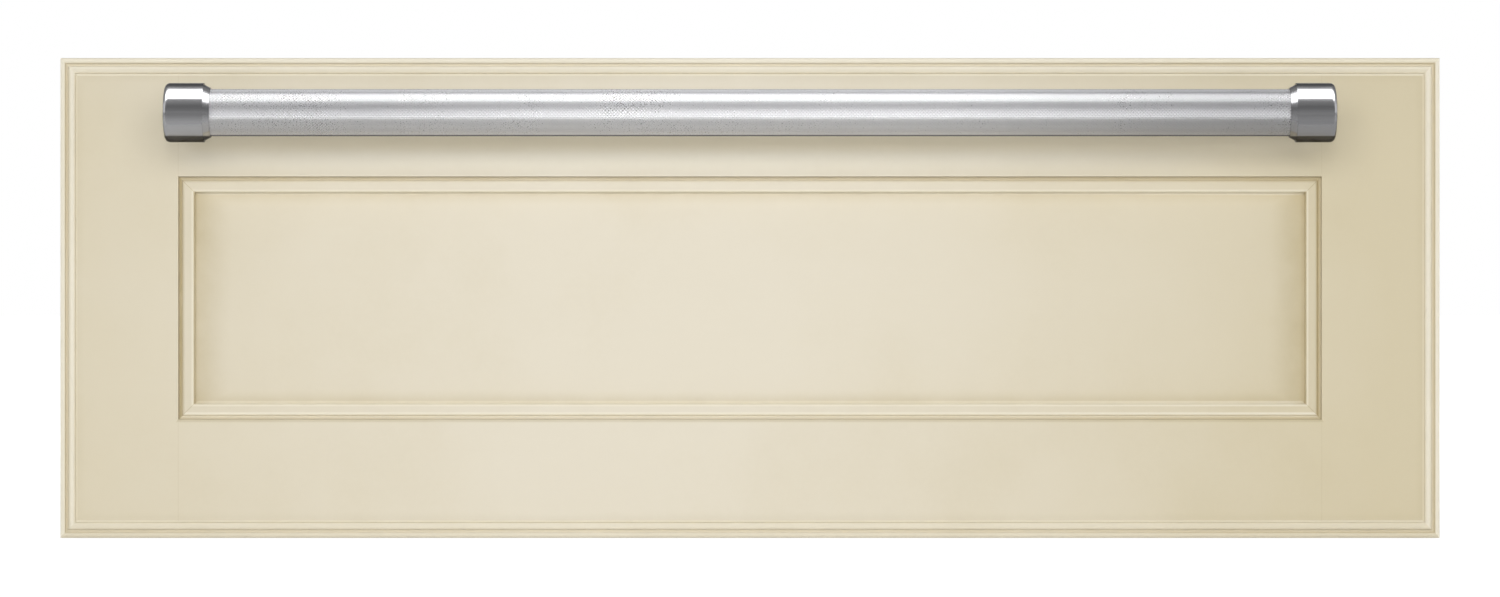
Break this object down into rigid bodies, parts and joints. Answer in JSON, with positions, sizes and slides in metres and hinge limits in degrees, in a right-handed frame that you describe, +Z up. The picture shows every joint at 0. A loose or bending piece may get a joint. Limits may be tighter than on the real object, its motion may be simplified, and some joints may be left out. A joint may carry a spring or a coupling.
{
  "type": "warming drawer",
  "caption": "Built-in warming drawer with a cream glazed framed wooden front, a knurled steel bar handle, a heated insulated cavity and a pan on ball bearing slides.",
  "frame": {"origin": "on the shelf under the chassis, at the plane of the cabinet's face, midway across", "axes": "+X to the right as seen from the front, +Y into the cabinet, +Z up"},
  "size_m": [0.756, 0.6998, 0.263],
  "materials": {
    "painted_wood": "cream paint under a brushed amber glaze, satin",
    "knurled_steel": "diamond knurl",
    "brushed_caps": "satin brushed along the bar",
    "galvanised": "zinc coated sheet, faint spangle",
    "stainless": "fine brushed stainless",
    "frame_steel": "brushed stainless",
    "fibre": "glass fibre blanket",
    "element_steel": "heat darkened sheath",
    "zinc_clip": "bright zinc",
    "black_plastic": "fine satin texture",
    "amber_lens": "clear amber",
    "button_metal": "satin anodised",
    "circuit_board": "green solder mask",
    "wire_sleeve": "silicone and glass sleeved wire",
    "block_nylon": "natural nylon with brass screws",
    "bush_nylon": "black nylon",
    "thermostat_body": "phenolic",
    "screw_zinc": "zinc plated",
    "rail_zinc": "zinc plated, bright",
    "cage_brass": "pressed cage with steel balls",
    "seal_silicone": "soft matt silicone",
    "rack_wire": "bright chrome wire",
    "vent_steel": "black enamel"
  },
  "bodies": {
    "cabinet": {"base_plate": "galvanised", "left_wall": "galvanised", "right_wall": "galvanised", "top_cover": "galvanised", "back_panel": "galvanised", "front_frame": "frame_steel", "cavity_floor": "stainless", "cavity_left": "stainless", "cavity_right": "stainless", "cavity_top": "stainless", "cavity_back": "stainless", "insulation": "fibre", "heating_element": "element_steel", "element_clips": "zinc_clip", "element_guard": "stainless", "temperature_sensor": "stainless", "limit_thermostat": "thermostat_body", "control_fascia": "black_plastic", "indicator_lenses": "amber_lens", "control_board": "circuit_board", "wiring_harness": "wire_sleeve", "junction_box": "galvanised", "junction_cover": "galvanised", "terminal_block": "block_nylon", "cable_bushing": "bush_nylon", "chassis_fasteners": "screw_zinc", "outer_rail_left": "rail_zinc", "outer_rail_right": "rail_zinc"},
    "drawer": {"left_stile": "painted_wood", "right_stile": "painted_wood", "top_rail": "painted_wood", "bottom_rail": "painted_wood", "centre_panel": "painted_wood", "panel_moulding": "painted_wood", "handle_bar": "knurled_steel", "left_end_cap": "brushed_caps", "right_end_cap": "brushed_caps", "drawer_fasteners": "screw_zinc", "door_liner": "stainless", "door_backer": "galvanised", "door_insulation": "fibre", "door_seal": "seal_silicone", "pan": "stainless", "side_bracket_left": "stainless", "side_bracket_right": "stainless", "back_bracket": "stainless", "rack": "rack_wire", "inner_rail_left": "rail_zinc", "inner_rail_right": "rail_zinc"},
    "vent_slider": {"vent_slider": "vent_steel"},
    "middle_rail_left": {"middle_rail_left": "rail_zinc"},
    "middle_rail_right": {"middle_rail_right": "rail_zinc"},
    "outer_cage_left": {"outer_cage_left": "cage_brass"},
    "outer_cage_right": {"outer_cage_right": "cage_brass"},
    "inner_cage_left": {"inner_cage_left": "cage_brass"},
    "inner_cage_right": {"inner_cage_right": "cage_brass"},
    "button_1": {"button_1": "button_metal"},
    "button_2": {"button_2": "button_metal"},
    "button_3": {"button_3": "button_metal"},
    "button_4": {"button_4": "button_metal"}
  },
  "joints": [
    {"name": "drawer_slide", "type": "slide", "parent": "cabinet", "child": "drawer", "axis": [0, -1, 0], "range_m": [0, 0.44]},
    {"name": "middle_rail_left_slide", "type": "slide", "parent": "cabinet", "child": "middle_rail_left", "axis": [0, -1, 0], "range_m": [0, 0.22]},
    {"name": "outer_cage_left_slide", "type": "slide", "parent": "cabinet", "child": "outer_cage_left", "axis": [0, -1, 0], "range_m": [0, 0.11]},
    {"name": "inner_cage_left_slide", "type": "slide", "parent": "cabinet", "child": "inner_cage_left", "axis": [0, -1, 0], "range_m": [0, 0.33]},
    {"name": "middle_rail_right_slide", "type": "slide", "parent": "cabinet", "child": "middle_rail_right", "axis": [0, -1, 0], "range_m": [0, 0.22]},
    {"name": "outer_cage_right_slide", "type": "slide", "parent": "cabinet", "child": "outer_cage_right", "axis": [0, -1, 0], "range_m": [0, 0.11]},
    {"name": "inner_cage_right_slide", "type": "slide", "parent": "cabinet", "child": "inner_cage_right", "axis": [0, -1, 0], "range_m": [0, 0.33]},
    {"name": "vent_slide", "type": "slide", "parent": "drawer", "child": "vent_slider", "axis": [1, 0, 0], "range_m": [0, 0.01]},
    {"name": "button_1_press", "type": "slide", "parent": "cabinet", "child": "button_1", "axis": [0, 1, 0], "range_m": [0, 0.001], "stiffness_N_per_m": 1500, "springref_m": -0.0005},
    {"name": "button_2_press", "type": "slide", "parent": "cabinet", "child": "button_2", "axis": [0, 1, 0], "range_m": [0, 0.001], "stiffness_N_per_m": 1500, "springref_m": -0.0005},
    {"name": "button_3_press", "type": "slide", "parent": "cabinet", "child": "button_3", "axis": [0, 1, 0], "range_m": [0, 0.001], "stiffness_N_per_m": 1500, "springref_m": -0.0005},
    {"name": "button_4_press", "type": "slide", "parent": "cabinet", "child": "button_4", "axis": [0, 1, 0], "range_m": [0, 0.001], "stiffness_N_per_m": 1500, "springref_m": -0.0005}
  ],
  "couplings": [
    {"joint": "middle_rail_left_slide", "follows": "drawer_slide", "ratio": 0.5},
    {"joint": "outer_cage_left_slide", "follows": "drawer_slide", "ratio": 0.25},
    {"joint": "inner_cage_left_slide", "follows": "drawer_slide", "ratio": 0.75},
    {"joint": "middle_rail_right_slide", "follows": "drawer_slide", "ratio": 0.5},
    {"joint": "outer_cage_right_slide", "follows": "drawer_slide", "ratio": 0.25},
    {"joint": "inner_cage_right_slide", "follows": "drawer_slide", "ratio": 0.75}
  ]
}
